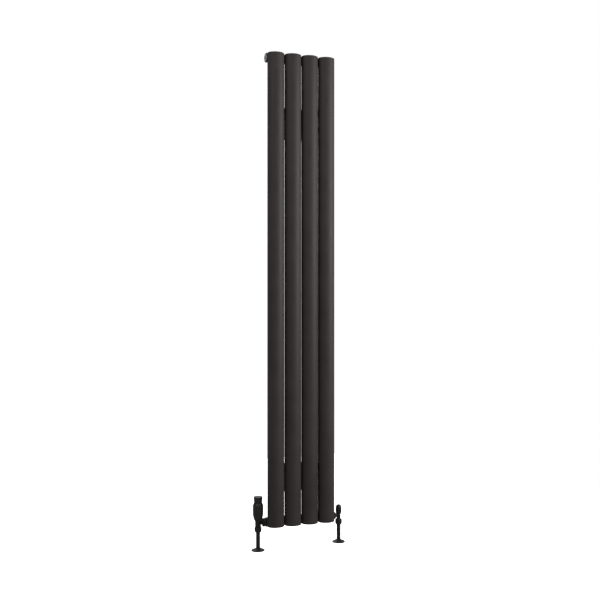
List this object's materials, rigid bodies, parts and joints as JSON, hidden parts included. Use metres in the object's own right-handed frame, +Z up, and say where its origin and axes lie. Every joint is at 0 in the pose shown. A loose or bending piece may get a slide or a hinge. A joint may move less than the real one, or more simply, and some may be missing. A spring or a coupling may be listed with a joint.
{
  "type": "radiator with valve",
  "caption": "Tall wall radiator of upright oval tubes, with a thermostatic valve, a lockshield valve and floor pipes.",
  "frame": {"origin": "centre of the four wall fixing holes, on the wall's face", "axes": "+X to the right as seen from the front, +Y into the wall, +Z up along the tubes; the front faces -Y"},
  "size_m": [0.3406, 0.096, 1.6865],
  "materials": {
    "anthracite_coat": "satin-matt powder coat with a fine texture, on steel",
    "steel": "bare machined steel",
    "sleeve_plastic": "moulded black polyamide",
    "chrome": "polished chrome plate",
    "rubber": "black EPDM",
    "white_plastic": "moulded acetal",
    "brass": "turned brass",
    "valve_black": "matt black powder coat, on brass and copper",
    "head_black": "matt black moulded ABS"
  },
  "bodies": {
    "radiator": {"oval_tube_1": "anthracite_coat", "oval_tube_2": "anthracite_coat", "oval_tube_3": "anthracite_coat", "oval_tube_4": "anthracite_coat", "tube_caps_top": "anthracite_coat", "tube_caps_bottom": "anthracite_coat", "header_top": "anthracite_coat", "header_bottom": "anthracite_coat", "hanging_rail_top": "anthracite_coat", "hanging_rail_bottom": "anthracite_coat", "wall_bracket_top": "anthracite_coat", "wall_bracket_bottom": "anthracite_coat", "header_bosses": "steel", "trv_pin_spring": "steel", "hook_sleeves_top": "sleeve_plastic", "hook_sleeves_bottom": "sleeve_plastic", "blanking_plug": "chrome", "air_vent_body": "chrome", "blanking_plug_seal": "rubber", "air_vent_seal": "rubber", "trv_head_core": "white_plastic", "trv_tail": "brass", "trv_olive": "brass", "trv_gland": "brass", "lockshield_tail": "brass", "lockshield_olive": "brass", "lockshield_gland": "brass", "trv_body": "valve_black", "trv_union_nut": "valve_black", "trv_inlet_nut": "valve_black", "lockshield_body": "valve_black", "lockshield_union_nut": "valve_black", "lockshield_inlet_nut": "valve_black", "pipe_left": "valve_black", "pipe_right": "valve_black", "trv_fixing_ring": "head_black"},
    "thermostat_handle": {"trv_handle": "head_black", "trv_handle_cap": "head_black"},
    "valve_pin": {"trv_pin": "steel", "trv_valve_disc": "rubber", "trv_sensor": "steel", "trv_overtravel_spring": "steel", "trv_setting_nut": "white_plastic"},
    "shield_cap": {"lockshield_cap": "head_black"},
    "shield_spindle": {"lockshield_spindle": "brass"},
    "shield_plug": {"lockshield_plug": "brass"},
    "vent_screw": {"air_vent_screw": "brass"},
    "vent_ring": {"air_vent_ring": "white_plastic"},
    "collar_left": {"floor_collar_left": "valve_black"},
    "collar_right": {"floor_collar_right": "valve_black"}
  },
  "joints": [
    {"name": "trv_handle_turn", "type": "hinge", "parent": "radiator", "child": "thermostat_handle", "pos_m": [-0.1478, -0.05, -0.749], "axis": [0, 0, 1], "range_deg": [-270, 0]},
    {"name": "trv_pin_slide", "type": "slide", "parent": "radiator", "child": "valve_pin", "axis": [0, 0, -1], "range_m": [0, 0.0025], "deforming": ["trv_pin_spring"]},
    {"name": "shield_cap_lift", "type": "slide", "parent": "radiator", "child": "shield_cap", "axis": [0, 0, 1], "range_m": [0, 0.04]},
    {"name": "shield_spindle_turn", "type": "hinge", "parent": "radiator", "child": "shield_spindle", "pos_m": [0.1478, -0.05, -0.749], "axis": [0, 0, 1], "range_deg": [-1080, 0]},
    {"name": "shield_plug_slide", "type": "slide", "parent": "radiator", "child": "shield_plug", "axis": [0, 0, -1], "range_m": [0, 0.003]},
    {"name": "vent_screw_turn", "type": "hinge", "parent": "radiator", "child": "vent_screw", "pos_m": [0.1208, -0.05, 0.828], "axis": [1, 0, 0], "range_deg": [0, 360]},
    {"name": "vent_ring_turn", "type": "hinge", "parent": "radiator", "child": "vent_ring", "pos_m": [0.1208, -0.05, 0.828], "axis": [1, 0, 0], "range_deg": [-180, 180]},
    {"name": "collar_left_lift", "type": "slide", "parent": "radiator", "child": "collar_left", "axis": [0, 0, 1], "range_m": [0, 0.045]},
    {"name": "collar_right_lift", "type": "slide", "parent": "radiator", "child": "collar_right", "axis": [0, 0, 1], "range_m": [0, 0.045]}
  ],
  "couplings": [
    {"joint": "trv_handle_turn", "follows": "trv_pin_slide", "rad_per_m": -1885},
    {"joint": "shield_spindle_turn", "follows": "shield_plug_slide", "rad_per_m": -6283.2}
  ]
}
